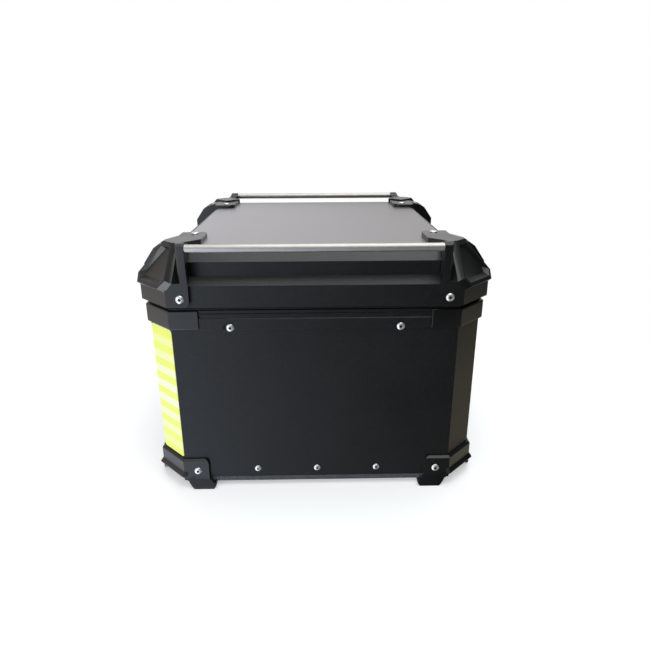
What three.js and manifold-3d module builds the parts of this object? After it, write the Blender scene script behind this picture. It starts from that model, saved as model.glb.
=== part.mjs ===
// A motorcycle top case of about 45 litres: a folded aluminium box with a stepped aluminium lid,
// moulded corner guards, two carrying rods, a pair of hinges and an over-centre latch with a key.
// Millimetres. +X is the hinge side, towards the rider, and -X the latch side, at the rear.
// +Y is the case's left side and -Y its right side. +Z is up. The feet stand on z = 0, and the
// origin is under the middle of the case.

import * as THREE from "three";
import { mergeVertices } from "three/addons/utils/BufferGeometryUtils.js";
import Module from "manifold-3d";

const wasm = await Module();
wasm.setup();

// ---------------------------------------------------------------- driving dimensions

const BODY = { halfX: 192.5, halfY: 215, corner: 31.2, wall: 2, bottom: 13, top: 236 };
const BASE = { bottom: 6, floor: 2, flangeTop: 31 };
const RACK_FIELD = { halfX: 115, halfY: 150, corner: 20, bottom: 5 };
const LID = { halfX: 195, halfY: 222, corner: 35, wall: 1.6, bottom: 235.5, frameTop: 260 };
// endsIn: how much further in the step lies at the lid's front and rear than at its sides.
const PAN = { stepIn: 14, endsIn: 9, stepZ: 267, shoulderZ: 283, panelIn: 36, top: 294, wall: 1.6 };
const PANEL = { rim: 1.4, ledge: 58, ledgeZ: 291, thickness: 1.4 }; // ledge: how far in it ends
const ROD = { y: 222.2, z: 300.9, radius: 4.5, halfLength: 137.4, spigot: { radius: 3.2, length: 5.6 } };
const RIM = { bottom: 207.5, top: 231, proud: 2, capProud: 3.5, capFrom: 130, capFromY: 152 };
const FOOT = { top: 40, proud: 4, flare: 7.5, cornerBottom: 17.5, plateEnd: 132.5, plateEndY: 155 };
const GUARD = { bottom: 237.5, frontY: 227, sideX: 197.5, plateTop: 299.5, top: 306.5 };
const HINGE = { x: 203, z: 234.5, y: 96, length: 76, knuckle: 4, leaf: 2, pin: 2 };
const LATCH = {
  pivotX: -204.5,
  pivotZ: 194,
  clawX: -207.9,
  clawZ: 176,
  halfWidth: 24,
  lipX: -203,
  key: { z: 148, radius: 8 },
};
const FASTENER = { head: 4.7, headHeight: 1.9, shank: 2.4, bore: 2.5 };
const GAP = 0.12; // between pieces that touch

const CORNERS = [
  { name: "rear_right", x: -1, y: -1 },
  { name: "front_right", x: 1, y: -1 },
  { name: "front_left", x: 1, y: 1 },
  { name: "rear_left", x: -1, y: 1 },
];
const SIDES = [
  { name: "right", y: -1 },
  { name: "left", y: 1 },
];

// ---------------------------------------------------------------- materials

const finish = (color, roughness, metalness) =>
  new THREE.MeshStandardMaterial({ color, roughness, metalness });

const POWDER_COAT = finish(0x202326, 0.55, 0.1);
const ANODISED = finish(0x8f9092, 0.35, 0.9);
const ROD_FINISH = finish(0xd8d8da, 0.25, 1);
const PLASTIC = finish(0x1b1d20, 0.6, 0);
const RUBBER = finish(0x101010, 0.9, 0);
const STEEL = finish(0xc9c9c6, 0.3, 1);
const DARK_STEEL = finish(0x3a3b3d, 0.4, 0.9);
const FILM = finish(0xe8f53a, 0.4, 0);

// ---------------------------------------------------------------- solids

// A closed three.js geometry as a solid that can be cut and joined.
function solid(geometry) {
  const bare = geometry.clone();
  bare.deleteAttribute("normal");
  bare.deleteAttribute("uv");
  const merged = mergeVertices(bare, 1e-4);
  const vertProperties = new Float32Array(merged.attributes.position.array);
  const triVerts = new Uint32Array(merged.index.array);
  return new wasm.Manifold(new wasm.Mesh({ numProp: 3, vertProperties, triVerts }));
}

function geometryOf(shape) {
  const mesh = shape.getMesh();
  const geometry = new THREE.BufferGeometry();
  const position = new THREE.BufferAttribute(new Float32Array(mesh.vertProperties), 3);
  geometry.setAttribute("position", position);
  geometry.setIndex(new THREE.BufferAttribute(new Uint32Array(mesh.triVerts), 1));
  const flat = geometry.toNonIndexed();
  flat.computeVertexNormals();
  return flat;
}

const union = (...shapes) => shapes.reduce((a, b) => a.add(b));
const cut = (shape, ...tools) => tools.reduce((a, b) => a.subtract(b), shape);

// The same solid reflected into another corner of the case.
function mirrored(shape, signX, signY) {
  const mesh = shape.getMesh();
  const vertProperties = new Float32Array(mesh.vertProperties);
  for (let i = 0; i < vertProperties.length; i += 3) {
    vertProperties[i] *= signX;
    vertProperties[i + 1] *= signY;
  }
  const triVerts = new Uint32Array(mesh.triVerts);
  if (signX * signY < 0) {
    for (let i = 0; i < triVerts.length; i += 3) {
      [triVerts[i + 1], triVerts[i + 2]] = [triVerts[i + 2], triVerts[i + 1]];
    }
  }
  return new wasm.Manifold(new wasm.Mesh({ numProp: 3, vertProperties, triVerts }));
}

// The same solid with X and Y exchanged.
function transposed(shape) {
  const mesh = shape.getMesh();
  const vertProperties = new Float32Array(mesh.vertProperties);
  for (let i = 0; i < vertProperties.length; i += 3) {
    [vertProperties[i], vertProperties[i + 1]] = [vertProperties[i + 1], vertProperties[i]];
  }
  const triVerts = new Uint32Array(mesh.triVerts);
  for (let i = 0; i < triVerts.length; i += 3) {
    [triVerts[i + 1], triVerts[i + 2]] = [triVerts[i + 2], triVerts[i + 1]];
  }
  return new wasm.Manifold(new wasm.Mesh({ numProp: 3, vertProperties, triVerts }));
}

// A box between two corners.
function block([x0, y0, z0], [x1, y1, z1]) {
  const box = new THREE.BoxGeometry(x1 - x0, y1 - y0, z1 - z0);
  return solid(box.translate((x0 + x1) / 2, (y0 + y1) / 2, (z0 + z1) / 2));
}

const outline = (points) => new THREE.Shape(points.map(([a, b]) => new THREE.Vector2(a, b)));

function extruded(shape, depth) {
  return new THREE.ExtrudeGeometry(shape, { depth, bevelEnabled: false, curveSegments: 6 });
}

// An outline in XY, raised from one height to another.
function prismZ(points, z0, z1) {
  return solid(extruded(outline(points), z1 - z0).translate(0, 0, z0));
}

// An outline in XZ, swept from y0 to y1.
function prismY(points, y0, y1) {
  const shape = points instanceof THREE.Shape ? points : outline(points);
  return solid(extruded(shape, y1 - y0).rotateX(Math.PI / 2).translate(0, y1, 0));
}

// An outline in YZ, swept from x0 to x1.
function prismX(points, x0, x1) {
  const turned = extruded(outline(points), x1 - x0).rotateX(Math.PI / 2).rotateZ(Math.PI / 2);
  return solid(turned.translate(x0, 0, 0));
}

// A cylinder between two points.
function bar(from, to, radius, sides = 20) {
  const a = new THREE.Vector3(...from);
  const b = new THREE.Vector3(...to);
  const along = b.clone().sub(a);
  const cylinder = new THREE.CylinderGeometry(radius, radius, along.length(), sides);
  const turn = new THREE.Quaternion().setFromUnitVectors(
    new THREE.Vector3(0, 1, 0),
    along.clone().normalize(),
  );
  cylinder.applyQuaternion(turn);
  const middle = a.add(b).multiplyScalar(0.5);
  return solid(cylinder.translate(middle.x, middle.y, middle.z));
}

// ---------------------------------------------------------------- octagonal sections

// The case's section moved outwards by grow: a rectangle whose four corners are cut off. Its
// front and rear are moved in by endsIn.
function section(of, grow, endsIn) {
  const x = of.halfX + grow - endsIn;
  const y = of.halfY + grow;
  const leg = of.corner + grow * (2 - Math.SQRT2);
  return [
    [x, -y + leg],
    [x, y - leg],
    [x - leg, y],
    [-x + leg, y],
    [-x, y - leg],
    [-x, -y + leg],
    [-x + leg, -y],
    [x - leg, -y],
  ];
}

// A closed solid through octagonal sections, from the bottom up, each given as [grow, height] or
// [grow, height, endsIn].
function stack(of, levels) {
  const positions = [];
  const index = [];
  for (const [grow, z, endsIn = 0] of levels) {
    section(of, grow, endsIn).forEach(([x, y]) => positions.push(x, y, z));
  }
  const count = 8;
  for (let level = 0; level + 1 < levels.length; level++) {
    for (let i = 0; i < count; i++) {
      const a = level * count + i;
      const b = level * count + ((i + 1) % count);
      index.push(a, b, b + count, a, b + count, a + count);
    }
  }
  const last = (levels.length - 1) * count;
  for (let i = 1; i + 1 < count; i++) {
    index.push(0, i + 1, i);
    index.push(last, last + i, last + i + 1);
  }
  const geometry = new THREE.BufferGeometry();
  geometry.setAttribute("position", new THREE.Float32BufferAttribute(positions, 3));
  geometry.setIndex(index);
  return solid(geometry);
}

// The outside of the closed lid, moved outwards by grow.
function lidOutside(grow) {
  return stack(LID, [
    [grow, LID.bottom - 1],
    [grow, LID.frameTop + grow / 2],
    [grow - PAN.stepIn, PAN.stepZ + grow, PAN.endsIn],
    [grow - PAN.stepIn, PAN.shoulderZ + grow / 2, PAN.endsIn],
    [grow - PAN.panelIn, PAN.top + grow],
  ]);
}

// ---------------------------------------------------------------- the assembly

const topCase = new THREE.Group();

function place(name, shape, material) {
  const mesh = new THREE.Mesh(geometryOf(shape), material);
  mesh.name = name;
  topCase.add(mesh);
}

// Every place where a fastener goes through the case, on the +X +Y quarter.
const LID_RIVET = { x: 146, y: GUARD.frontY, z: 246.5 };
const TOP_SCREW = { x: 144.6, y: 129.2, z: GUARD.plateTop };
const RIM_RIVET = { x: 95.7, y: BODY.halfY, z: 209.5 };
const FOOT_RIVET = { x: 145.7, y: BODY.halfY + FOOT.proud, z: 24.4 };

const FASTENERS = [
  { name: "lid_rivet", at: LID_RIVET, out: [0, 1, 0], shank: 8 },
  { name: "top_screw", at: TOP_SCREW, out: [0, 0, 1], shank: 9 },
  { name: "rim_rivet", at: RIM_RIVET, out: [0, 1, 0], shank: 4 },
  { name: "foot_rivet", at: FOOT_RIVET, out: [0, 1, 0], shank: 8.5 },
];

function bore({ at, out, shank }, radius) {
  const depth = shank + 1;
  const from = [at.x - out[0] * depth, at.y - out[1] * depth, at.z - out[2] * depth];
  const to = [at.x + out[0], at.y + out[1], at.z + out[2]];
  return bar(from, to, radius, 12);
}

// The holes for a quarter's fasteners, repeated into all four corners.
function drilled(shape, fastener) {
  const hole = bore(fastener, FASTENER.bore);
  return CORNERS.reduce((rest, c) => rest.subtract(mirrored(hole, c.x, c.y)), shape);
}

const [LID_RIVETS, TOP_SCREWS, RIM_RIVETS, FOOT_RIVETS] = FASTENERS;

// ---------------------------------------------------------------- body

function bodyShell() {
  const outer = stack(BODY, [
    [0, BODY.bottom + GAP],
    [0, BODY.top],
  ]);
  const inner = stack(BODY, [
    [-BODY.wall, BODY.bottom - 1],
    [-BODY.wall, BODY.top + 1],
  ]);
  return drilled(drilled(outer.subtract(inner), RIM_RIVETS), FOOT_RIVETS);
}

// The floor tray: its lip shows below the walls, and its flange stands inside them. The field
// underneath, where a rack carries the case, stands a little lower than the rest.
function basePan() {
  const inside = -BODY.wall - GAP;
  const tray = stack(BODY, [
    [-1.2, BASE.bottom],
    [0, BASE.bottom + 1.6],
    [0, BODY.bottom],
    [inside, BODY.bottom],
    [inside, BASE.flangeTop],
  ]);
  const rackField = stack(RACK_FIELD, [
    [0, RACK_FIELD.bottom],
    [2, BASE.bottom + 0.5],
  ]);
  const hollow = stack(BODY, [
    [inside - BASE.floor, BASE.bottom + BASE.floor],
    [inside - BASE.floor, BASE.flangeTop + 1],
  ]);
  return drilled(union(tray, rackField).subtract(hollow), FOOT_RIVETS);
}

// The section of a rim rail: a flat strip with two ribs above it, from the wall outwards.
function rimProfile() {
  const n = GAP;
  const p = RIM.proud;
  const low = 0.6;
  return [
    [n, RIM.bottom],
    [p - 0.4, RIM.bottom],
    [p, RIM.bottom + 0.6],
    [p, RIM.bottom + 12.6],
    [p - 0.8, RIM.bottom + 13.6],
    [low, RIM.bottom + 13.8],
    [low, RIM.bottom + 16.2],
    [p - 0.4, RIM.bottom + 17],
    [p - 0.4, RIM.bottom + 18.4],
    [low, RIM.bottom + 19.2],
    [low, RIM.bottom + 20.8],
    [p, RIM.bottom + 21.6],
    [p, RIM.top - 0.6],
    [n, RIM.top],
  ];
}

// A rail on a long side, with a round recess at each rivet.
function sideRail(sign) {
  const profile = rimProfile().map(([n, z]) => [BODY.halfY + n, z]);
  const rail = prismX(profile, -RIM.capFrom + GAP, RIM.capFrom - GAP);
  const recess = (x) => bar([x, BODY.halfY - 1, RIM_RIVET.z], [x, BODY.halfY + 9, RIM_RIVET.z], 7.4, 24);
  const finished = cut(rail, recess(RIM_RIVET.x), recess(-RIM_RIVET.x));
  return mirrored(finished, 1, sign);
}

function endRail(sign) {
  const profile = rimProfile().map(([n, z]) => [BODY.halfX + n, z]);
  const rail = prismY(profile, -RIM.capFromY + GAP, RIM.capFromY - GAP);
  return mirrored(rail, sign, 1);
}

// The quarter of a shape that lies beyond fromX and fromY.
function quarterOf(shape, fromX, fromY) {
  return shape.intersect(block([fromX, fromY, 0], [BODY.halfX + 20, BODY.halfY + 20, 330]));
}

// A moulded cap that covers the ends of two rails and the cut corner between them.
function rimCorner() {
  const low = RIM.bottom + 0.6;
  const high = RIM.top - 0.4;
  const outer = stack(BODY, [
    [RIM.capProud - 1, low],
    [RIM.capProud, low + 1.2],
    [RIM.capProud, high - 1.2],
    [RIM.capProud - 1, high],
  ]);
  const wall = stack(BODY, [
    [GAP, low - 5],
    [GAP, high + 5],
  ]);
  return quarterOf(outer.subtract(wall), RIM.capFrom, RIM.capFromY);
}

// The outline of a foot's plate seen square on: its upper inner corner is rounded.
function footOutline(end, reach) {
  const radius = 6;
  const plan = new THREE.Shape();
  plan.moveTo(end, 11);
  plan.lineTo(reach, 11);
  plan.lineTo(reach, FOOT.top + 1);
  plan.lineTo(end + radius, FOOT.top + 1);
  plan.absarc(end + radius, FOOT.top - radius, radius, Math.PI / 2, Math.PI, false);
  return plan;
}

// One of a foot's two pads: a bevelled block with a slanted outer end, under the +Y face.
function footPad(end, bend, face) {
  const front = [
    [end + 5, 0],
    [bend - 10, 0],
    [bend + 2, FOOT.cornerBottom],
    [bend + 2, FOOT.cornerBottom + 3],
    [end, FOOT.cornerBottom + 3],
    [end, 13],
    [end - 8, 4.5],
    [end - 5, 0],
  ];
  const side = [
    [face - 22, 0],
    [face + FOOT.flare, 0],
    [face + FOOT.flare, 4.5],
    [face + FOOT.proud, 12.4],
    [face + FOOT.proud, 25],
    [face - 22, 25],
  ];
  return prismY(front, face - 22, face + 12).intersect(prismX(side, end - 20, bend + 10));
}

// A foot wraps the bottom corner, flares outwards under the cut corner and stands on two pads.
function footCorner() {
  const bendX = BODY.halfX - BODY.corner;
  const bendY = BODY.halfY - BODY.corner;
  const plate = stack(BODY, [
    [FOOT.proud, 11],
    [FOOT.proud, FOOT.top - 2.4],
    [FOOT.proud - 2.4, FOOT.top],
  ])
    .intersect(prismY(footOutline(FOOT.plateEnd, 230), 60, 230))
    .intersect(transposed(prismY(footOutline(FOOT.plateEndY, 230), 60, 230)));
  const underCorner = block([bendX + 2, bendY + 2, 0], [230, 230, FOOT.cornerBottom]);
  const flare = stack(BODY, [
    [FOOT.flare, FOOT.cornerBottom],
    [FOOT.flare, FOOT.cornerBottom + 1],
    [FOOT.proud - 0.2, FOOT.cornerBottom + 6],
  ]).intersect(block([bendX - 1.5, bendY - 1.5, 0], [230, 230, 60]));
  const padY = footPad(FOOT.plateEnd, bendX, BODY.halfY);
  const padX = transposed(footPad(FOOT.plateEndY, bendY, BODY.halfX));
  const body = stack(BODY, [
    [GAP, BASE.bottom - GAP],
    [GAP, FOOT.top + 10],
  ]);
  return drilled(cut(union(cut(plate, underCorner), flare, padY, padX), body), FOOT_RIVETS);
}

// A rubber channel pushed over the top edge of the walls.
function lidSeal() {
  const outer = stack(BODY, [
    [0.4, BODY.top - 4],
    [0.4, BODY.top + 3],
    [-BODY.wall / 2, BODY.top + 4],
  ]);
  const inner = stack(BODY, [
    [-BODY.wall - 0.9, BODY.top - 5],
    [-BODY.wall - 0.9, BODY.top + 3],
    [-BODY.wall / 2 - 1, BODY.top + 5],
  ]);
  const walls = stack(BODY, [
    [GAP, BODY.top - 6],
    [GAP, BODY.top + GAP],
  ]).subtract(
    stack(BODY, [
      [-BODY.wall - GAP, BODY.top - 7],
      [-BODY.wall - GAP, BODY.top + 1],
    ]),
  );
  return outer.subtract(inner).subtract(walls);
}

// An outline drawn on the +X +Y cut corner, sideways by height, and raised outwards.
function onCorner(shape, depth, out, side) {
  const turn = new THREE.Matrix4().makeBasis(
    new THREE.Vector3(-Math.SQRT1_2, Math.SQRT1_2, 0),
    new THREE.Vector3(0, 0, 1),
    new THREE.Vector3(Math.SQRT1_2, Math.SQRT1_2, 0),
  );
  return solid(extruded(shape, depth).translate(side, 0, out).applyMatrix4(turn));
}

// A reflective film with rounded corners on a rear corner's flat.
function reflectiveFilm() {
  const half = (BODY.corner * Math.SQRT2) / 2 - 0.8;
  const bottom = FOOT.top + 1.5;
  const top = RIM.bottom - 1;
  const r = 4;
  const shape = new THREE.Shape();
  shape.moveTo(-half + r, bottom);
  shape.absarc(half - r, bottom + r, r, -Math.PI / 2, 0, false);
  shape.absarc(half - r, top - r, r, 0, Math.PI / 2, false);
  shape.absarc(-half + r, top - r, r, Math.PI / 2, Math.PI, false);
  shape.absarc(-half + r, bottom + r, r, Math.PI, 1.5 * Math.PI, false);
  const out = (BODY.halfX + BODY.halfY - BODY.corner) / Math.SQRT2;
  const side = (BODY.halfY - BODY.halfX) / Math.SQRT2;
  return onCorner(shape, 0.4, out + GAP, side);
}

// ---------------------------------------------------------------- lid

// The lid's lower ring, with the flange inside it that lands on the seal.
function lidFrame() {
  const outer = stack(LID, [
    [0, LID.bottom],
    [0, LID.frameTop - GAP],
  ]);
  const inner = stack(LID, [
    [-LID.wall, LID.bottom - 1],
    [-LID.wall, LID.frameTop + 1],
  ]);
  const flange = stack(LID, [
    [-LID.wall + 0.2, BODY.top + 4.4],
    [-LID.wall + 0.2, BODY.top + 6.4],
  ]).subtract(
    stack(LID, [
      [-14, BODY.top],
      [-14, BODY.top + 9],
    ]),
  );
  return drilled(union(outer.subtract(inner), flange), LID_RIVETS);
}

// The pressed upper pan: a slope, an upright step and a second slope. A ledge inside its rim
// carries the flat panel.
function lidPan() {
  const outer = stack(LID, [
    [0, LID.frameTop],
    [-PAN.stepIn, PAN.stepZ, PAN.endsIn],
    [-PAN.stepIn, PAN.shoulderZ, PAN.endsIn],
    [-PAN.panelIn, PAN.top],
  ]);
  const w = PAN.wall;
  const inner = stack(LID, [
    [-2.2 * w, LID.frameTop - 1],
    [-2.2 * w, LID.frameTop + 0.2],
    [-PAN.stepIn - w, PAN.stepZ - 1.2, PAN.endsIn],
    [-PAN.stepIn - w, PAN.shoulderZ - 0.6, PAN.endsIn],
    [-PAN.panelIn + 2 * w, PANEL.ledgeZ, 1.8],
  ]);
  const seat = stack(LID, [
    [-PAN.panelIn - PANEL.rim, PAN.top - PANEL.thickness - GAP],
    [-PAN.panelIn - PANEL.rim, PAN.top + 1],
  ]);
  const window = stack(LID, [
    [-PANEL.ledge, PANEL.ledgeZ - 1],
    [-PANEL.ledge, PAN.top + 1],
  ]);
  return drilled(cut(outer, inner, seat, window), TOP_SCREWS);
}

// The flat panel that fills the pan's rim.
function lidPanel() {
  const edge = -PAN.panelIn - PANEL.rim - GAP;
  const panel = stack(LID, [
    [edge, PAN.top - PANEL.thickness],
    [edge, PAN.top - 0.3],
    [edge - 0.3, PAN.top],
  ]);
  return drilled(panel, TOP_SCREWS);
}

// ---------------------------------------------------------------- lid corner guards

// A shield stands across each corner's diagonal. Its front and the collar behind it each have a
// foot, a widest line and a top. A line gives its reach from the shield's middle towards the
// strap arm and towards the rod, its distance out along the diagonal and its height.
const SHIELD = {
  side: 17.7, // how far its middle lies off the line x = y
  front: [
    { arm: 21.1, rod: 21.1, out: 279, z: 258.2 },
    { arm: 27.7, rod: 27.7, out: 272.8, z: 267 },
    { arm: 8.5, rod: 8.5, out: 248.2, z: 301.7 },
  ],
  collar: [
    { arm: 22.3, rod: 28.6, out: 274.7, z: 254.5 },
    { arm: 30, rod: 34.3, out: 269, z: 264 },
    { arm: 12, rod: 15.1, out: 244.4, z: 301.7 },
  ],
  depth: 30,
  recess: 4.4,
};

// A ring's six points, anticlockwise seen from outside.
function shieldRing([foot, wide, top], inwards) {
  const point = (line, side) => {
    const out = line.out - inwards;
    const across = SHIELD.side + side;
    return [(out - across) / Math.SQRT2, (out + across) / Math.SQRT2, line.z];
  };
  return [
    point(foot, -foot.arm),
    point(foot, foot.rod),
    point(wide, wide.rod),
    point(top, top.rod),
    point(top, -top.arm),
    point(wide, -wide.arm),
  ];
}

// A closed solid through six-sided rings, from the outermost inwards.
function shieldLoft(rings) {
  const count = 6;
  const last = (rings.length - 1) * count;
  const index = [];
  for (let i = 1; i + 1 < count; i++) {
    index.push(0, i, i + 1);
    index.push(last, last + i + 1, last + i);
  }
  for (let ring = 0; ring < last; ring += count) {
    for (let i = 0; i < count; i++) {
      const a = ring + i;
      const b = ring + ((i + 1) % count);
      index.push(a, a + count, b + count, a, b + count, b);
    }
  }
  const geometry = new THREE.BufferGeometry();
  geometry.setAttribute("position", new THREE.Float32BufferAttribute(rings.flat(2), 3));
  geometry.setIndex(index);
  return solid(geometry);
}

// The hollow in the shield's front, with sloping walls. Its lines lie in the plane of the front.
function shieldRecess() {
  const [foot, , top] = SHIELD.front;
  const lean = (top.out - foot.out) / (top.z - foot.z);
  const line = (arm, rod, z) => ({ arm, rod, out: foot.out + lean * (z - foot.z), z });
  const mouth = [line(20.2, 20.2, 261.5), line(25, 25, 268), line(7.6, 7.6, 297)];
  const floor = [line(18.5, 13.5, 264.5), line(19.5, 21.5, 270), line(3, 4.2, 294)];
  return shieldLoft([shieldRing(mouth, -1), shieldRing(mouth, 0), shieldRing(floor, SHIELD.recess)]);
}

function shield() {
  const { front, collar, depth } = SHIELD;
  const rings = [shieldRing(front, 0), shieldRing(collar, 0), shieldRing(collar, depth)];
  return shieldLoft(rings).subtract(shieldRecess());
}

// The plate on the lid's panel and the arm that runs from it to the strut.
function guardArm() {
  const plan = new THREE.Shape();
  plan.moveTo(161.5, 118);
  plan.lineTo(161.5, 168);
  plan.lineTo(155, 190);
  plan.lineTo(147, 218);
  plan.lineTo(146.4, GUARD.frontY);
  plan.lineTo(ROD.halfLength, GUARD.frontY);
  plan.lineTo(ROD.halfLength, 213);
  plan.lineTo(143.5, 168);
  plan.lineTo(130.5, 168);
  plan.lineTo(130.5, 128);
  plan.absarc(140.5, 128, 10, Math.PI, 1.5 * Math.PI, false);
  const column = solid(extruded(plan, 40).translate(0, 0, 280));
  const side = [
    [117, PAN.top + GAP],
    [187, PAN.top + GAP],
    [214, PAN.top + 2],
    [GUARD.frontY, PAN.top + 2],
    [GUARD.frontY, GUARD.top - 6],
    [GUARD.frontY - 0.7, GUARD.top - 3],
    [GUARD.frontY - 2.5, GUARD.top - 0.8],
    [GUARD.frontY - 5.5, GUARD.top],
    [GUARD.frontY - 9.5, GUARD.top],
    [GUARD.frontY - 12.4, GUARD.top - 1.1],
    [GUARD.frontY - 14.2, GUARD.top - 3.3],
    [GUARD.frontY - 17, GUARD.top - 4.7],
    [200, GUARD.plateTop + 1.3],
    [170, GUARD.plateTop],
    [119.2, GUARD.plateTop],
    [118, GUARD.plateTop - 1.2],
    [117, GUARD.plateTop - 2.2],
  ];
  return column.intersect(prismX(side, 120, 170));
}

// The upright strut that carries the rod, and the plate that it grows out of.
function guardStrut() {
  const strut = prismY(
    [
      [136.4, 244],
      [145.4, 260],
      [146.4, GUARD.top - 6.2],
      [ROD.halfLength, GUARD.top - 6.2],
    ],
    213,
    GUARD.frontY,
  );
  const plan = new THREE.Shape();
  plan.moveTo(161.5, GUARD.bottom);
  plan.lineTo(161.5, 254.5);
  plan.lineTo(153.4, 264);
  plan.lineTo(136.2, 264);
  plan.lineTo(136.4, GUARD.bottom + 6);
  plan.absarc(142.4, GUARD.bottom + 6, 6, Math.PI, 1.5 * Math.PI, false);
  return union(strut, prismY(plan, 218, GUARD.frontY));
}

// What is cut off the strut's outer edge, down to the plate.
function strutFacet() {
  const beyond = GUARD.frontY + 1;
  return prismZ(
    [
      [143.2, beyond],
      [149, beyond - 6],
      [149, beyond],
    ],
    264,
    GUARD.top + 1,
  );
}

// The band around the lid's cut corner, and the second arm with its strap slot.
function guardWrap() {
  const sum = GUARD.frontY + 161.5;
  const plan = [
    [155, 210],
    [185, 180],
    [185, 146],
    [GUARD.sideX, 146],
    [GUARD.sideX, sum - GUARD.sideX],
    [161.5, GUARD.frontY],
    [155, GUARD.frontY],
  ];
  return prismZ(plan, GUARD.bottom, 257);
}

const STRAP_ARM = { from: 140, to: 169, slot: { x0: 173.5, x1: 180, y0: 147, y1: 163 } };

function strapArm() {
  const profile = [
    [159.5, GUARD.plateTop],
    [159.5, PAN.top - 4],
    [170, PAN.shoulderZ - 2],
    [174, 280.5],
    [188, 269.5],
    [191.5, 264],
    [192.5, 259],
    [187, 256],
    [GUARD.sideX, 250],
    [GUARD.sideX, 273],
    [185.2, 290.6],
    [178.5, 295],
    [164, 298.9],
  ];
  const arm = prismY(profile, STRAP_ARM.from, STRAP_ARM.to);
  const { x0, x1, y0, y1 } = STRAP_ARM.slot;
  return arm.subtract(block([x0, y0, 270], [x1, y1, 310]));
}

function cornerGuard() {
  const upright = cut(union(guardArm(), guardStrut()), strutFacet());
  const raw = union(upright, guardWrap(), strapArm(), shield());
  const socketEnd = ROD.halfLength + ROD.spigot.length + 0.3;
  const rodSocket = bar([130, ROD.y, ROD.z], [socketEnd, ROD.y, ROD.z], ROD.spigot.radius + GAP, 24);
  const shaped = cut(raw, lidOutside(GAP), rodSocket);
  return drilled(drilled(shaped, LID_RIVETS), TOP_SCREWS);
}

// A rod between two struts, with a spigot at each end that goes into their sockets.
function carryRod(sign) {
  const between = (halfLength, radius) =>
    bar([-halfLength, sign * ROD.y, ROD.z], [halfLength, sign * ROD.y, ROD.z], radius, 24);
  const { halfLength, radius, spigot } = ROD;
  return union(between(halfLength - GAP, radius), between(halfLength + spigot.length, spigot.radius));
}

// ---------------------------------------------------------------- hinges

function knuckle(from, to) {
  return bar([HINGE.x, from, HINGE.z], [HINGE.x, to, HINGE.z], HINGE.knuckle, 20);
}

const pinBore = () => bar([HINGE.x, -60, HINGE.z], [HINGE.x, 60, HINGE.z], HINGE.pin + 0.06, 16);

// The leaf on the body, with the two outer knuckles.
function hingeBodyLeaf() {
  const face = BODY.halfX + RIM.proud + GAP;
  const half = HINGE.length / 2;
  const third = HINGE.length / 6;
  const leaf = block([face, -half, 204], [face + HINGE.leaf, half, 231]);
  const web = (y0, y1) =>
    prismY(
      [
        [face, 226],
        [face + HINGE.leaf, 226],
        [HINGE.x + 2, HINGE.z - 3.4],
        [HINGE.x - 3.4, HINGE.z - 1],
        [face, 231],
      ],
      y0,
      y1,
    );
  const outer = union(knuckle(-half, -third), knuckle(third, half));
  return cut(union(leaf, web(-half, -third), web(third, half), outer), pinBore());
}

// The leaf on the lid, with the middle knuckle.
function hingeLidLeaf() {
  const face = LID.halfX + GAP;
  const half = HINGE.length / 2;
  const third = HINGE.length / 6 - 0.3;
  const leaf = block([face, -half, 239.5], [face + HINGE.leaf, half, 258]);
  const web = prismY(
    [
      [face, 239.5],
      [HINGE.x - 3.4, HINGE.z + 0.5],
      [HINGE.x + 1, HINGE.z + 3.6],
      [face + HINGE.leaf, 243],
      [face, 243],
    ],
    -third,
    third,
  );
  return cut(union(leaf, web, knuckle(-third, third)), pinBore());
}

function hingePin() {
  const half = HINGE.length / 2;
  const head = bar([HINGE.x, half + 0.2, HINGE.z], [HINGE.x, half + 1.6, HINGE.z], HINGE.pin + 1.2, 16);
  return union(bar([HINGE.x, -half - 1, HINGE.z], [HINGE.x, half + 0.4, HINGE.z], HINGE.pin, 16), head);
}

// ---------------------------------------------------------------- latch

// The housing on the rear wall: a plate and two cheeks that hold the lever's pin.
function latchHousing() {
  const face = -BODY.halfX - GAP;
  const w = LATCH.halfWidth + 8.3;
  const plate = prismY(
    [
      [face, 126],
      [face, 206],
      [face - 3, 206],
      [face - 4, 204.5],
      [face - 4, 129],
      [face - 1, 126],
    ],
    -w,
    w,
  );
  const cheek = (y0) =>
    prismY(
      [
        [face - 1, 130],
        [face - 1, 205],
        [-207, 205],
        [-210.5, 200],
        [-210.5, 150],
        [-203, 131],
      ],
      y0,
      y0 + 4,
    );
  const pin = bar([LATCH.pivotX, -w - 1, LATCH.pivotZ], [LATCH.pivotX, w + 1, LATCH.pivotZ], 2.1, 16);
  return cut(union(plate, cheek(-w), cheek(w - 4)), pin);
}

// The lever hangs from its pin when shut; its lower edge is pulled out and up to open the latch.
function latchLever() {
  const w = LATCH.halfWidth + 3.4;
  const grip = prismY(
    [
      [-210.5, 169],
      [-212.5, 166],
      [-213, 150],
      [-212, 134],
      [-213.3, 127],
      [-211.6, 125.5],
      [-209, 132],
      [-208.5, 168],
    ],
    -w,
    w,
  );
  const rib = (y0) =>
    prismY(
      [
        [-209, 134],
        [-203.5, 140],
        [-203.5, 172],
        [-201, 194],
        [-202, 199],
        [-207, 199.5],
        [-210.5, 196],
        [-211.5, 168],
      ],
      y0,
      y0 + 4,
    );
  const across = w + 1;
  const pivot = bar([LATCH.pivotX, -across, LATCH.pivotZ], [LATCH.pivotX, across, LATCH.pivotZ], 2.1, 16);
  const link = bar([LATCH.clawX, -across, LATCH.clawZ], [LATCH.clawX, across, LATCH.clawZ], 1.6, 16);
  const key = LATCH.key;
  const boss = bar([-212, 0, key.z], [-203.5, 0, key.z], key.radius + 2.6, 28);
  const bore = bar([-225, 0, key.z], [-200, 0, key.z], key.radius + GAP, 28);
  return cut(union(grip, rib(-15), rib(11), boss), pivot, link, bore);
}

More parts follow.
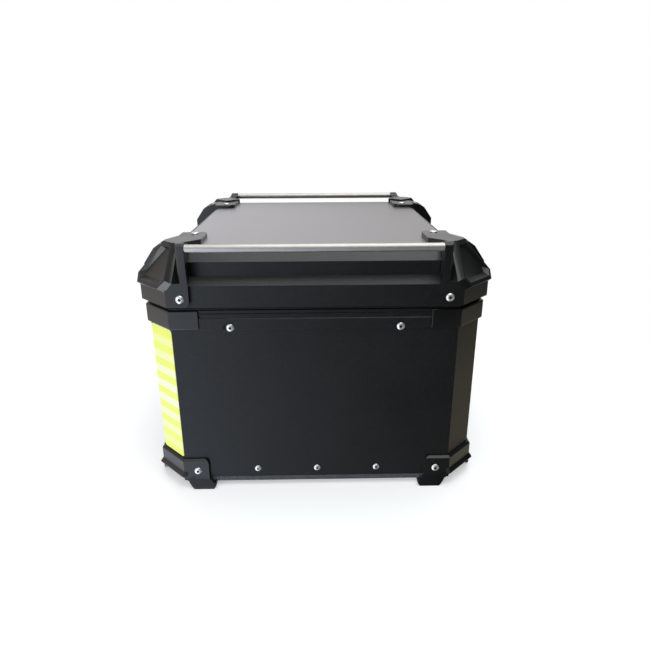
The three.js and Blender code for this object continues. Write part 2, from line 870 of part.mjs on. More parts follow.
// The claw reaches from the lever up to the striker on the lid.
function latchClaw() {
  const x = LATCH.clawX;
  const plate = prismY(
    [
      [x - 1.3, LATCH.clawZ + 1],
      [x - 1.3, 251],
      [x - 0.3, 252],
      [LATCH.lipX - 0.4, 252],
      [LATCH.lipX - 0.4, 249.3],
      [x + 0.8, 249.3],
      [x + 0.8, LATCH.clawZ + 1],
    ],
    -9,
    9,
  );
  const eye = bar([x, -9, LATCH.clawZ], [x, 9, LATCH.clawZ], 3.2, 20);
  const hole = bar([x, -12, LATCH.clawZ], [x, 12, LATCH.clawZ], 1.6, 16);
  return cut(union(plate, eye), hole);
}

// The striker on the lid's rear face, with the lip that the claw pulls down.
function lidStriker() {
  const face = -LID.halfX - GAP;
  const profile = [
    [face, 238.5],
    [face, 257],
    [face - 1.4, 257],
    [face - 2.2, 256],
    [face - 2.2, 250],
    [LATCH.lipX + 0.6, 248.6],
    [LATCH.lipX, 248],
    [LATCH.lipX, 245.6],
    [LATCH.lipX + 1, 245],
    [face - 2.2, 243.5],
    [face - 2.2, 238.5],
  ];
  return prismY(profile, -12, 12);
}

function latchPin(x, z, half, radius) {
  return bar([x, -half, z], [x, half, z], radius, 16);
}

// The key barrel turns in the lever; its face has the slot for the key.
function keyBarrel() {
  const { radius, z } = LATCH.key;
  const barrel = bar([-213.4, 0, z], [-203.2, 0, z], radius, 28);
  const slot = block([-216, -0.9, z - 4], [-210, 0.9, z + 4]);
  const tenon = block([-203.4, -2.4, z - 2.4], [-200.9, 2.4, z + 2.4]);
  return union(barrel.subtract(slot), tenon);
}

// The cam on the barrel's inner end.
function lockCam() {
  const z = LATCH.key.z;
  const plan = new THREE.Shape();
  plan.moveTo(-4.5, z - 12);
  plan.absarc(0, z - 12, 4.5, Math.PI, 2 * Math.PI, false);
  plan.absarc(0, z, 6.5, 0, Math.PI, false);
  const arm = solid(extruded(plan, 2).rotateX(Math.PI / 2).rotateZ(-Math.PI / 2).translate(-200.2, 0, 0));
  return arm.subtract(block([-204, -2.5, z - 2.5], [-199, 2.5, z + 2.5]));
}

// ---------------------------------------------------------------- fasteners

// A domed head with a dimple, on a straight shank, pointing along +Z from its seat.
function fastenerGeometry(shank) {
  const { head, headHeight, shank: radius } = FASTENER;
  const profile = [
    [0, -shank],
    [radius, -shank],
    [radius, GAP],
    [head, GAP],
    [head, 0.5],
    [head * 0.86, headHeight * 0.62],
    [head * 0.55, headHeight * 0.94],
    [head * 0.32, headHeight],
    [head * 0.2, headHeight * 0.45],
    [0, headHeight * 0.45],
  ];
  const points = profile.map(([r, z]) => new THREE.Vector2(r, z));
  return new THREE.LatheGeometry(points, 12).rotateX(Math.PI / 2);
}

function fastener({ at, out, shank }) {
  const turn = new THREE.Quaternion().setFromUnitVectors(
    new THREE.Vector3(0, 0, 1),
    new THREE.Vector3(...out),
  );
  const geometry = fastenerGeometry(shank).applyQuaternion(turn);
  return solid(geometry.translate(at.x, at.y, at.z));
}

// ---------------------------------------------------------------- everything in its place

place("body_shell", bodyShell(), POWDER_COAT);
place("base_pan", basePan(), POWDER_COAT);
place("lid_frame", lidFrame(), POWDER_COAT);
place("lid_pan", lidPan(), POWDER_COAT);
place("lid_panel", lidPanel(), ANODISED);
place("lid_seal", lidSeal(), RUBBER);

const rimCap = rimCorner();
const foot = footCorner();
const guard = cornerGuard();
for (const corner of CORNERS) {
  place(`rim_corner_${corner.name}`, mirrored(rimCap, corner.x, corner.y), PLASTIC);
  place(`foot_corner_${corner.name}`, mirrored(foot, corner.x, corner.y), PLASTIC);
  place(`lid_guard_${corner.name}`, mirrored(guard, corner.x, corner.y), PLASTIC);
  for (const kind of FASTENERS) {
    place(`${kind.name}_${corner.name}`, mirrored(fastener(kind), corner.x, corner.y), STEEL);
  }
}

for (const side of SIDES) {
  place(`rim_rail_${side.name}`, sideRail(side.y), POWDER_COAT);
  place(`carry_rod_${side.name}`, carryRod(side.y), ROD_FINISH);
  place(`reflective_film_${side.name}`, mirrored(reflectiveFilm(), -1, side.y), FILM);
  const y = side.y * HINGE.y;
  place(`hinge_body_leaf_${side.name}`, hingeBodyLeaf().translate([0, y, 0]), DARK_STEEL);
  place(`hinge_lid_leaf_${side.name}`, hingeLidLeaf().translate([0, y, 0]), DARK_STEEL);
  place(`hinge_pin_${side.name}`, mirrored(hingePin(), 1, side.y).translate([0, y, 0]), STEEL);
}
place("rim_rail_rear", endRail(-1), POWDER_COAT);
place("rim_rail_front", endRail(1), POWDER_COAT);

place("latch_housing", latchHousing(), PLASTIC);
place("latch_lever", latchLever(), PLASTIC);
place("latch_claw", latchClaw(), STEEL);
place("latch_lever_pin", latchPin(LATCH.pivotX, LATCH.pivotZ, LATCH.halfWidth + 8, 2), STEEL);
place("latch_claw_pin", latchPin(LATCH.clawX, LATCH.clawZ, 14.6, 1.5), STEEL);
place("lid_striker", lidStriker(), DARK_STEEL);
place("key_barrel", keyBarrel(), STEEL);
place("lock_cam", lockCam(), DARK_STEEL);

export default topCase;
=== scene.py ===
"""Looks for the motorcycle top case: materials, softened edges, small hardware, studio and camera.

Metres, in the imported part's frame: +X towards the rider, -X the latch side, +Z up.
"""

import math

import bmesh
import bpy
from mathutils import Matrix, Vector


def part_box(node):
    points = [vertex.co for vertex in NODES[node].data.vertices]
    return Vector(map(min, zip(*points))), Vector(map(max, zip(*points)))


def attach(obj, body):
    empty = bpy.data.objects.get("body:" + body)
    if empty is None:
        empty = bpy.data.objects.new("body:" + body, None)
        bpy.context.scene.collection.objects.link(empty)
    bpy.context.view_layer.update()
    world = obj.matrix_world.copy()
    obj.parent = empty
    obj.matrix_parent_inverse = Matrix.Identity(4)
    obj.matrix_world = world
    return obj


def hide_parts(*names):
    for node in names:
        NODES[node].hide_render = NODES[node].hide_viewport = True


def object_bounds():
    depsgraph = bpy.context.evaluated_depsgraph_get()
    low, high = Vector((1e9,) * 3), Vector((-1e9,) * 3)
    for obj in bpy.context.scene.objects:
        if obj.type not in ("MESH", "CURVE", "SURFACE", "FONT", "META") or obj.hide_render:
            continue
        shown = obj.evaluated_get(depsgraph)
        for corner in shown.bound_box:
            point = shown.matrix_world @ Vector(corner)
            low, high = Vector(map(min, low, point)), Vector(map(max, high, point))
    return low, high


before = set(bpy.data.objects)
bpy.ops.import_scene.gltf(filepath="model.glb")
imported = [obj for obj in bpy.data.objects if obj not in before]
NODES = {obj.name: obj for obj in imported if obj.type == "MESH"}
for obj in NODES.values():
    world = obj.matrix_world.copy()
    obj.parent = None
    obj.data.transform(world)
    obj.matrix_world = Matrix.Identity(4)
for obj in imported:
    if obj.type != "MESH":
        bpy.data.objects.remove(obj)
CAD_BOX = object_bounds()
MM = 0.001

CORNERS = ("rear_right", "front_right", "front_left", "rear_left")
SIDES = ("right", "left")

HEAD_HEIGHT = 1.9 * MM
RIVET_HEAD = 4.7 * MM  # radius
RIVET_TAIL = 3.4 * MM  # radius
LONG_SHANK = 6 * MM
RING_POINTS = 84  # a multiple of six, so that a socket's corners stay sharp
FLOOR_RIVET = {"head": 4 * MM, "level": 24.3 * MM, "spacing": 72.9 * MM}
HINGE_SCREW = {"head": 3.4 * MM, "spacing": 26 * MM, "body_level": 216 * MM, "lid_level": 250.5 * MM}
HINGE_LEAF = {"body": 4.12 * MM, "lid": 2.12 * MM}  # how far its face stands off each wall
FILM_PITCH = 19.2 * MM
HATCH_PITCH = 2.1 * MM
HATCH_SLOPE = 1.2


# ---------------------------------------------------------------- material helpers


class Shader:
    """A node material under construction, with short calls for the nodes it uses."""

    def __init__(self, name, roughness=0.5, metallic=0.0, specular=0.5):
        self.material = bpy.data.materials.new(name)
        self.material.use_nodes = True
        self.tree = self.material.node_tree
        self.surface = self.tree.nodes["Principled BSDF"]
        self.surface.inputs["Roughness"].default_value = roughness
        self.surface.inputs["Metallic"].default_value = metallic
        self.surface.inputs["Specular IOR Level"].default_value = specular
        self.place = self.add("ShaderNodeTexCoord").outputs["Object"]

    def add(self, kind, inputs=None, **settings):
        node = self.tree.nodes.new(kind)
        for key, value in settings.items():
            setattr(node, key, value)
        for key, value in (inputs or {}).items():
            self.feed(node.inputs[key], value)
        return node

    def feed(self, socket, value):
        if isinstance(value, bpy.types.NodeSocket):
            self.tree.links.new(value, socket)
        else:
            socket.default_value = value

    def set(self, name, value):
        self.feed(self.surface.inputs[name], value)

    def stretched(self, x, y, z):
        """The object coordinates scaled along each axis."""
        return self.add("ShaderNodeMapping", {"Vector": self.place, "Scale": (x, y, z)}).outputs[0]

    def leaning(self, angle, length):
        """Object coordinates leaning by angle about Y and stretched length times along the lean."""
        inputs = {"Vector": self.place, "Rotation": (0, angle, 0), "Scale": (1, 1, length)}
        return self.add("ShaderNodeMapping", inputs, vector_type="TEXTURE").outputs[0]

    def noise(self, size, detail=2.0, vector=None):
        """Noise whose features are about size metres wide, around 0.5."""
        inputs = {"Vector": vector or self.place, "Scale": 1 / size, "Detail": detail}
        return self.add("ShaderNodeTexNoise", inputs).outputs["Fac"]

    def cells(self, size):
        """0 in the middle of each cell, about size metres wide, and more towards its edges."""
        inputs = {"Vector": self.place, "Scale": 1 / size}
        return self.add("ShaderNodeTexVoronoi", inputs).outputs["Distance"]

    def spread(self, value, low, high, to_low=0.0, to_high=1.0):
        """value between low and high, stretched to run from to_low to to_high."""
        inputs = {
            "Value": value,
            "From Min": low,
            "From Max": high,
            "To Min": to_low,
            "To Max": to_high,
        }
        return self.add("ShaderNodeMapRange", inputs).outputs[0]

    def math(self, operation, a, b=0.0):
        node = self.add("ShaderNodeMath", operation=operation)
        self.feed(node.inputs[0], a)
        self.feed(node.inputs[1], b)
        return node.outputs[0]

    def mix(self, share, a, b):
        node = self.add("ShaderNodeMix", data_type="RGBA")
        self.feed(node.inputs["Factor"], share)
        self.feed(node.inputs["A"], a)
        self.feed(node.inputs["B"], b)
        return node.outputs["Result"]

    def bump(self, height, distance, strength):
        inputs = {"Height": height, "Distance": distance, "Strength": strength}
        return self.add("ShaderNodeBump", inputs).outputs[0]

    def edges(self, radius):
        """1 on outer edges, 0 on flats: how far a rounded normal leans from the true one."""
        rounded = self.add("ShaderNodeBevel", {"Radius": radius}, samples=4).outputs[0]
        true = self.add("ShaderNodeNewGeometry").outputs["Normal"]
        dot = self.add("ShaderNodeVectorMath", {0: rounded, 1: true}, operation="DOT_PRODUCT")
        return self.spread(dot.outputs["Value"], 0.995, 0.9)


def rgb(red, green, blue):
    return (red, green, blue, 1.0)


# ---------------------------------------------------------------- materials


def powder_coat(name, shade=1.0):
    """Fine-texture black powder coat: grains about 1 mm wide, faint sparkle and light scuffs. shade
    multiplies all its colours; above 1 it gives a paler copy, painted light.
    """
    s = Shader(name, specular=0.4)

    def tone(red, green, blue):
        return rgb(red * shade, green * shade, blue * shade)

    grain = s.noise(0.9 * MM, 3)
    sparkle = s.spread(s.noise(0.5 * MM, 0), 0.64, 0.76)
    clouds = s.noise(90 * MM, 4)
    streaks = s.spread(s.noise(2.5 * MM, 3, s.leaning(0.7, 12)), 0.66, 0.76)
    scuffs = s.math("MULTIPLY", streaks, s.spread(clouds, 0.45, 0.65, 0.0, 0.3))
    base = s.mix(s.spread(clouds, 0.3, 0.7), tone(0.004, 0.0042, 0.0045), tone(0.0055, 0.0057, 0.006))
    flecked = s.mix(sparkle, base, tone(0.05, 0.055, 0.056))
    s.set("Base Color", s.mix(scuffs, flecked, tone(0.04, 0.042, 0.045)))
    s.set("Roughness", s.spread(clouds, 0.3, 0.7, 0.36, 0.43))
    s.set("Normal", s.bump(grain, 0.2 * MM, 0.75))
    return s.material


def lid_panel():
    """Satin grey coating with a fine even grain, its colour painted a little paler towards the rear as a
    painted reflection of the brighter light there.
    """
    s = Shader("grey_lid_panel", metallic=0.6, specular=0.5)
    grain = s.noise(0.7 * MM, 2)
    mottle = s.spread(s.noise(0.9 * MM, 2), 0.3, 0.7, 0.0, 0.12)
    along = s.add("ShaderNodeSeparateXYZ", {0: s.place}).outputs["X"]
    # painted reflection: the base colour runs from paler at the rear (-X) to darker at the front (+X),
    # standing in for the brighter studio light that the panel mirrors at its rear
    tone = s.mix(s.spread(along, -0.16, 0.16), rgb(0.373, 0.357, 0.375), rgb(0.216, 0.205, 0.204))
    s.set("Base Color", s.mix(mottle, tone, rgb(0.5, 0.49, 0.5)))
    s.set("Roughness", s.spread(grain, 0.3, 0.7, 0.34, 0.42))
    s.set("Normal", s.bump(grain, 0.05 * MM, 0.4))
    return s.material


def drawn_rod():
    """Satin aluminium with fine lines along the rod."""
    s = Shader("satin_rod", metallic=1.0)
    lines = s.noise(0.3 * MM, 2, s.stretched(0.01, 1, 1))
    stains = s.noise(25 * MM, 3)
    s.set("Base Color", s.mix(s.spread(stains, 0.3, 0.7), rgb(0.49, 0.462, 0.436), rgb(0.55, 0.521, 0.493)))
    s.set("Roughness", s.spread(lines, 0.3, 0.7, 0.44, 0.52))
    s.set("Normal", s.bump(lines, 0.01 * MM, 0.25))
    return s.material


def moulded_plastic():
    """Black plastic with an eroded mould grain, and a painted highlight that makes its edges a little
    lighter.
    """
    s = Shader("black_plastic", specular=0.6)
    grain = s.cells(0.6 * MM)
    flow = s.noise(35 * MM, 3)
    base = s.mix(s.spread(flow, 0.3, 0.7), rgb(0.006, 0.0062, 0.0066), rgb(0.008, 0.0083, 0.0088))
    # painted highlight: outer edges are painted half-way towards a lighter grey
    s.set("Base Color", s.mix(s.math("MULTIPLY", s.edges(0.8 * MM), 0.5), base, rgb(0.035, 0.036, 0.039)))
    s.set("Roughness", s.spread(flow, 0.3, 0.7, 0.28, 0.35))
    s.set("Normal", s.bump(grain, 0.03 * MM, 0.15))
    return s.material


def seal_rubber():
    """Matt black rubber with a little dust."""
    s = Shader("seal_rubber", specular=0.3)
    dust = s.noise(6 * MM, 4)
    s.set("Base Color", s.mix(s.spread(dust, 0.4, 0.75), rgb(0.008, 0.008, 0.008), rgb(0.022, 0.022, 0.021)))
    s.set("Roughness", s.spread(dust, 0.3, 0.7, 0.7, 0.85))
    s.set("Normal", s.bump(s.noise(0.4 * MM), 0.05 * MM, 0.4))
    return s.material


def bright_steel():
    """Stainless steel, lightly scratched."""
    s = Shader("bright_steel", metallic=0.7)
    scratches = s.noise(0.35 * MM, 3, s.stretched(1, 0.1, 1))
    s.set("Base Color", s.mix(s.noise(4 * MM, 2), rgb(0.82, 0.82, 0.81), rgb(0.93, 0.93, 0.92)))
    s.set("Roughness", s.spread(scratches, 0.3, 0.7, 0.2, 0.36))
    s.set("Normal", s.bump(scratches, 0.02 * MM, 0.4))
    return s.material


def satin_steel():
    """Pressed steel with a dull, brushed plating."""
    s = Shader("satin_steel", metallic=1.0)
    brushed = s.noise(0.3 * MM, 3, s.stretched(1, 1, 0.1))
    s.set("Base Color", s.mix(s.noise(6 * MM, 3), rgb(0.36, 0.36, 0.35), rgb(0.46, 0.46, 0.45)))
    s.set("Roughness", s.spread(brushed, 0.3, 0.7, 0.34, 0.48))
    s.set("Normal", s.bump(brushed, 0.02 * MM, 0.4))
    return s.material


def dark_steel():
    """Black zinc-plated steel with its outer edges coloured a lighter grey."""
    s = Shader("dark_steel", metallic=0.7)
    clouds = s.noise(12 * MM, 3)
    base = s.mix(s.spread(clouds, 0.3, 0.7), rgb(0.03, 0.031, 0.034), rgb(0.05, 0.051, 0.055))
    s.set("Base Color", s.mix(s.math("MULTIPLY", s.edges(0.6 * MM), 0.7), base, rgb(0.3, 0.3, 0.29)))
    s.set("Roughness", s.spread(clouds, 0.3, 0.7, 0.32, 0.46))
    s.set("Normal", s.bump(s.noise(0.3 * MM), 0.02 * MM, 0.4))
    return s.material


def painted_socket_shade():
    """The inside of a fastener's socket: near-black painted shade, with a faint oily mottle."""
    s = Shader("painted_socket_shade", specular=0.3)
    # painted shade: the socket is coloured near black where the bright steel lies in shade
    s.set("Base Color", s.mix(s.noise(0.8 * MM), rgb(0.012, 0.012, 0.012), rgb(0.05, 0.048, 0.045)))
    s.set("Roughness", s.spread(s.noise(0.5 * MM), 0.3, 0.7, 0.5, 0.7))
    return s.material


def reflective_film(low, high):
    """Fluorescent yellow film with pale hatched bands across it, strongest in the middle. Its colour also
    glows faintly, a painted light.
    """
    s = Shader("yellow_film", roughness=0.35, specular=0.5)
    split = s.add("ShaderNodeSeparateXYZ", {0: s.place}).outputs
    height = split["Z"]
    first = high - 0.62 * FILM_PITCH
    phase = s.math("FRACT", s.math("DIVIDE", s.math("SUBTRACT", first, height), FILM_PITCH))
    # each band fills the upper half of its pitch
    band = s.math("MULTIPLY", s.spread(phase, 0.0, 0.04), s.spread(phase, 0.54, 0.5))
    sideways = s.math("MULTIPLY", s.math("ABSOLUTE", split["Y"]), HATCH_SLOPE)
    stripe = s.math("PINGPONG", s.math("SUBTRACT", height, sideways), HATCH_PITCH)
    hatch = s.spread(stripe, 0.7 * MM, 1.1 * MM, 0.35, 1.0)
    middle = (low + high) / 2
    away = s.math("ABSOLUTE", s.math("SUBTRACT", height, middle))
    strength = s.spread(away, 0.012, (high - low) / 2, 1.0, 0.25)
    pale = s.math("MULTIPLY", s.math("MULTIPLY", band, hatch), strength)
    color = s.mix(pale, rgb(0.845, 0.9, 0.13), rgb(0.92, 0.95, 0.8))
    prisms = s.cells(2.2 * MM)
    s.set("Base Color", color)
    # painted light: the film's colour also glows at strength 0.16, lifting it above what the lamps give
    s.set("Emission Color", color)
    s.surface.inputs["Emission Strength"].default_value = 0.16
    s.surface.inputs["Coat Weight"].default_value = 0.4
    s.surface.inputs["Coat Roughness"].default_value = 0.15
    s.set("Roughness", s.spread(prisms, 0.0, 0.6, 0.3, 0.45))
    s.set("Normal", s.bump(prisms, 0.03 * MM, 0.3))
    return s.material


def studio_floor():
    """Pale floor round the object, fading to an even white further out."""
    s = Shader("studio_floor", specular=0.2)
    s.set("Base Color", s.mix(s.noise(0.4, 3), rgb(0.86, 0.86, 0.86), rgb(0.9, 0.9, 0.9)))
    s.set("Roughness", s.spread(s.noise(0.05, 3), 0.3, 0.7, 0.6, 0.75))
    s.set("Emission Color", rgb(1, 1, 1))
    s.surface.inputs["Emission Strength"].default_value = 0.4
    away = s.add("ShaderNodeVectorMath", {0: s.place}, operation="LENGTH").outputs["Value"]
    white = s.add("ShaderNodeEmission", {"Color": rgb(1, 1, 1), "Strength": 1.0}).outputs[0]
    fade = s.add("ShaderNodeMixShader", {0: s.spread(away, 0.3, 0.75)})
    s.feed(fade.inputs[1], s.surface.outputs[0])
    s.feed(fade.inputs[2], white)
    s.feed(s.tree.nodes["Material Output"].inputs["Surface"], fade.outputs[0])
    return s.material


def film_span():
    """The heights of a film's lower and upper edges."""
    low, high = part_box("reflective_film_right")
    return low.z, high.z


POWDER = powder_coat("black_powder_coat")
# the base pan's copy is painted 11 times paler: painted light, for the pale look its lip has where the light
# falls on it
LIT_BASE_COAT = powder_coat("powder_coat_base_painted_lit", shade=11)
PANEL = lid_panel()
ROD = drawn_rod()
PLASTIC = moulded_plastic()
RUBBER = seal_rubber()
STEEL = bright_steel()
SATIN = satin_steel()
DARK = dark_steel()
SOCKET_SHADE = painted_socket_shade()
FILM = reflective_film(*film_span())


# ---------------------------------------------------------------- CAD nodes: material and edges

FLAT = 3  # degrees between faces, below which they are one flat face
SQUARE = 80  # degrees between faces, above which their edge is a cut edge and not a fold


def bare(obj, material):
    """Gives a node its material and smooth shading; the bevel added after it makes that shading follow its
    real edges.
    """
    mesh = obj.data
    mesh.materials.clear()
    mesh.materials.append(material)
    if "custom_normal" in mesh.attributes:
        mesh.attributes.remove(mesh.attributes["custom_normal"])
    mesh.polygons.foreach_set("use_smooth", [True] * len(mesh.polygons))


def joined_up(obj):
    """Joins the triangles of each flat face, so that a bevel sees only real edges."""
    weld = obj.modifiers.new("weld", "WELD")
    weld.merge_threshold = 0.002 * MM
    flat = obj.modifiers.new("flat_faces", "DECIMATE")
    flat.decimate_type = "DISSOLVE"
    flat.angle_limit = math.radians(1)


def beveled(obj, width, angle):
    """Rounds every edge that is sharper than angle degrees."""
    bevel = obj.modifiers.new("soft_edges", "BEVEL")
    bevel.width = width
    bevel.segments = 3
    bevel.limit_method = "ANGLE"
    bevel.angle_limit = math.radians(angle)
    bevel.harden_normals = True
    bevel.use_clamp_overlap = True


def fold_edges(obj, cut_weight):
    """Gives a sheet part's folds, where faces meet at an open angle, a bevel weight of 1.

    Its square cut edges get the smaller cut_weight, and the lines inside a flat face none.
    """
    mesh = obj.data
    normals = {}
    keys = {}
    for polygon in mesh.polygons:
        for a, b in polygon.edge_keys:
            spot = frozenset(tuple(round(c, 6) for c in mesh.vertices[v].co) for v in (a, b))
            normals.setdefault(spot, []).append(polygon.normal.copy())
            keys[tuple(sorted((a, b)))] = spot
    weights = mesh.attributes.new("bevel_weight_edge", "FLOAT", "EDGE")
    for edge in mesh.edges:
        around = normals[keys[tuple(sorted(edge.vertices))]]
        lean = math.degrees(around[0].angle(around[-1])) if len(around) > 1 else 0
        if lean < FLAT:
            weight = 0.0
        elif lean < SQUARE:
            weight = 1.0
        else:
            weight = cut_weight
        weights.data[edge.index].value = weight


def folded(obj, narrow, wide):
    """Rounds a sheet part's folds to a wide radius and its cut edges to a narrow one."""
    fold_edges(obj, narrow / wide)
    joined_up(obj)
    bevel = obj.modifiers.new("fold_radius", "BEVEL")
    bevel.width = wide
    bevel.segments = 4
    bevel.limit_method = "WEIGHT"
    bevel.harden_normals = True
    bevel.use_clamp_overlap = True


def moulded(name, material, width, angle=25):
    """A piece with one material and evenly softened edges."""
    obj = NODES[name]
    bare(obj, material)
    joined_up(obj)
    beveled(obj, width, angle)


def dress_sheet_parts():
    """The folded sheet parts, with the radius in mm of their cut edges and of their folds."""
    for name, material, narrow, wide in (
        ("body_shell", POWDER, 0.3, 2.6),
        ("base_pan", LIT_BASE_COAT, 0.3, 0.9),
        ("lid_frame", POWDER, 0.4, 2.2),
        ("lid_pan", POWDER, 0.3, 1.6),
        ("lid_panel", PANEL, 0.2, 0.3),
    ):
        bare(NODES[name], material)
        folded(NODES[name], narrow * MM, wide * MM)
    for name in ("rim_rail_right", "rim_rail_left", "rim_rail_rear", "rim_rail_front"):
        moulded(name, POWDER, 0.3 * MM)


def dress_moulded_parts():
    """The plastic parts and the rubber seal."""
    for corner in CORNERS:
        moulded(f"lid_guard_{corner}", PLASTIC, 0.6 * MM)
        moulded(f"foot_corner_{corner}", PLASTIC, 0.8 * MM)
        moulded(f"rim_corner_{corner}", PLASTIC, 0.9 * MM)
    moulded("latch_housing", PLASTIC, 0.6 * MM)
    moulded("latch_lever", PLASTIC, 0.5 * MM)
    moulded("lid_seal", RUBBER, 0.3 * MM)


def dress_hardware():
    """The rods, films, hinges and lock."""
    for side in SIDES:
        moulded(f"carry_rod_{side}", ROD, 0.6 * MM, angle=50)
        moulded(f"reflective_film_{side}", FILM, 0.1 * MM, angle=50)
        moulded(f"hinge_body_leaf_{side}", DARK, 0.4 * MM)
        moulded(f"hinge_lid_leaf_{side}", DARK, 0.4 * MM)
        moulded(f"hinge_pin_{side}", SATIN, 0.3 * MM, angle=50)
    for name in ("lid_striker", "lock_cam"):
        moulded(name, DARK, 0.3 * MM)
    for name in ("latch_claw", "latch_claw_pin", "latch_lever_pin", "key_barrel"):
        moulded(name, SATIN, 0.25 * MM, angle=50)


dress_sheet_parts()
dress_moulded_parts()
dress_hardware()


# ---------------------------------------------------------------- turned hardware


def turned(name, profile, seat, out, body, materials):
    """A piece turned from (radius, height, kind) points, standing on its seat and facing out.

    The kind is "round" for a turned ring and "hex" for a ring of a six-sided socket. The second
    material goes on everything inside the socket's mouth.
    """
    made = bmesh.new()
    rings = []
    for radius, height, kind in profile:
        ring = []
        for i in range(RING_POINTS):
            angle = 2 * math.pi * i / RING_POINTS
            reach = radius
            if kind == "hex":
                half_side = math.pi / 6
                reach = radius / math.cos((angle % (2 * half_side)) - half_side)
            ring.append(made.verts.new((reach * math.cos(angle), reach * math.sin(angle), height)))
        rings.append((ring, kind))
    for (low, _), (high, kind) in zip(rings, rings[1:]):
        for i in range(RING_POINTS):
            j = (i + 1) % RING_POINTS
            face = made.faces.new((low[i], low[j], high[j], high[i]))
            face.smooth = True
            face.material_index = 1 if kind == "hex" and low[0].co.z > high[0].co.z else 0
    floor = made.faces.new(rings[-1][0])
    floor.material_index = 1
    made.faces.new(list(reversed(rings[0][0])))
    mesh = bpy.data.meshes.new(name)
    made.to_mesh(mesh)
    made.free()
    for material in materials:
        mesh.materials.append(material)
    mesh.transform(Vector(out).to_track_quat("Z", "Y").to_matrix().to_4x4())
    mesh.transform(Matrix.Translation(seat))
    obj = bpy.data.objects.new(name, mesh)
    bpy.context.scene.collection.objects.link(obj)
    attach(obj, body)
    return obj


def button_head(name, seat, out, body, radius=RIVET_HEAD, sink=1.0 * MM):
    """A low domed head with a hexagon socket, on a short shank."""
    tall = radius * 0.42
    profile = [
        (radius * 0.5, -sink, "round"),
        (radius * 0.5, 0.1 * MM, "round"),
        (radius * 0.97, 0.12 * MM, "round"),
        (radius, radius * 0.07, "round"),
        (radius * 0.97, radius * 0.14, "round"),
        (radius * 0.88, radius * 0.26, "round"),
        (radius * 0.72, radius * 0.36, "round"),
        (radius * 0.54, radius * 0.41, "round"),
        (radius * 0.36, tall, "round"),
        (radius * 0.28, tall * 0.98, "hex"),
        (radius * 0.24, tall * 0.9, "hex"),
        (radius * 0.24, tall * 0.25, "hex"),
    ]
    return turned(name, profile, seat, out, body, (STEEL, SOCKET_SHADE))


def head_centre(node, out):
    """The middle of a fastener's seat: its box's outer end, less the height of its head."""
    low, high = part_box(node)
    middle = (low + high) / 2
    face = Vector(out)
    reach = [high[i] if face[i] > 0 else low[i] for i in range(3)]
    seat = Vector([reach[i] if abs(face[i]) > 0.5 else middle[i] for i in range(3)])
    return seat - face * HEAD_HEIGHT


def replace_fasteners():
    """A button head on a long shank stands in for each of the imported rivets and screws."""
    bodies = {"lid_rivet": "lid", "top_screw": "lid", "rim_rivet": "case", "foot_rivet": "case"}
    for corner in CORNERS:
        side = -1 if corner.endswith("right") else 1
        for kind, body in bodies.items():
            out = (0, 0, 1) if kind == "top_screw" else (0, side, 0)
            node = f"{kind}_{corner}"
            head = button_head(f"{node}_head", head_centre(node, out), out, body, sink=LONG_SHANK)
            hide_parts(node)


def add_floor_rivets():
    """The rivets that hold the floor tray's flange, between the feet."""
    low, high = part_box("body_shell")
    level, spacing = FLOOR_RIVET["level"], FLOOR_RIVET["spacing"]
    walls = (
        ("right", (0, -1, 0), low.y),
        ("left", (0, 1, 0), high.y),
        ("rear", (-1, 0, 0), low.x),
        ("front", (1, 0, 0), high.x),
    )
    for wall, out, reach in walls:
        for count, along in enumerate((-spacing, 0, spacing)):
            seat = Vector((reach, along, level)) if out[0] else Vector((along, reach, level))
            name = f"floor_rivet_{wall}_{count}"
            button_head(name, seat, out, "case", radius=FLOOR_RIVET["head"])


def rivet_tail(name, seat, out, body):
    """The upset end of a blind rivet on the inside of a wall."""
    radius = RIVET_TAIL
    profile = [
        (radius * 0.6, -0.5 * MM, "round"),
        (radius * 0.6, 0.05 * MM, "round"),
        (radius, 0.3 * MM, "round"),
        (radius * 1.04, 0.9 * MM, "round"),
        (radius * 0.86, 1.7 * MM, "round"),
        (radius * 0.5, 2.1 * MM, "round"),
        (radius * 0.3, 2.15 * MM, "round"),
        (radius * 0.22, 1.7 * MM, "round"),
    ]
    return turned(name, profile, seat, out, body, (STEEL, SOCKET_SHADE))


def add_rivet_tails():
    """Every rivet of a side wall shows its tail inside, at its depth in mm behind its outer seat."""
    depths = {"lid_rivet": 6.6, "rim_rivet": 2.0, "foot_rivet": 8.1}
    for corner in CORNERS:
        side = -1 if corner.endswith("right") else 1
        for kind, depth in depths.items():
            node = f"{kind}_{corner}"
            out = Vector((0, side, 0))
            seat = head_centre(node, out) - out * depth * MM
            body = "lid" if kind == "lid_rivet" else "case"
            rivet_tail(f"{node}_tail", seat, -out, body)


def add_hinge_screws():
    """Three screws through each hinge leaf."""
    body_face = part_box("body_shell")[1].x + HINGE_LEAF["body"]
    lid_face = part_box("lid_frame")[1].x + HINGE_LEAF["lid"]
    spacing = HINGE_SCREW["spacing"]
    for side in SIDES:
        low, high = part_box(f"hinge_body_leaf_{side}")
        middle = (low.y + high.y) / 2
        for count, step in enumerate((-spacing, 0, spacing)):
            for leaf, face, body in (("body", body_face, "case"), ("lid", lid_face, "lid")):
                seat = Vector((face, middle + step, HINGE_SCREW[f"{leaf}_level"]))
                name = f"hinge_{leaf}_screw_{side}_{count}"
                button_head(name, seat, (1, 0, 0), body, radius=HINGE_SCREW["head"])


replace_fasteners()
add_floor_rivets()
add_rivet_tails()
add_hinge_screws()


# ---------------------------------------------------------------- studio


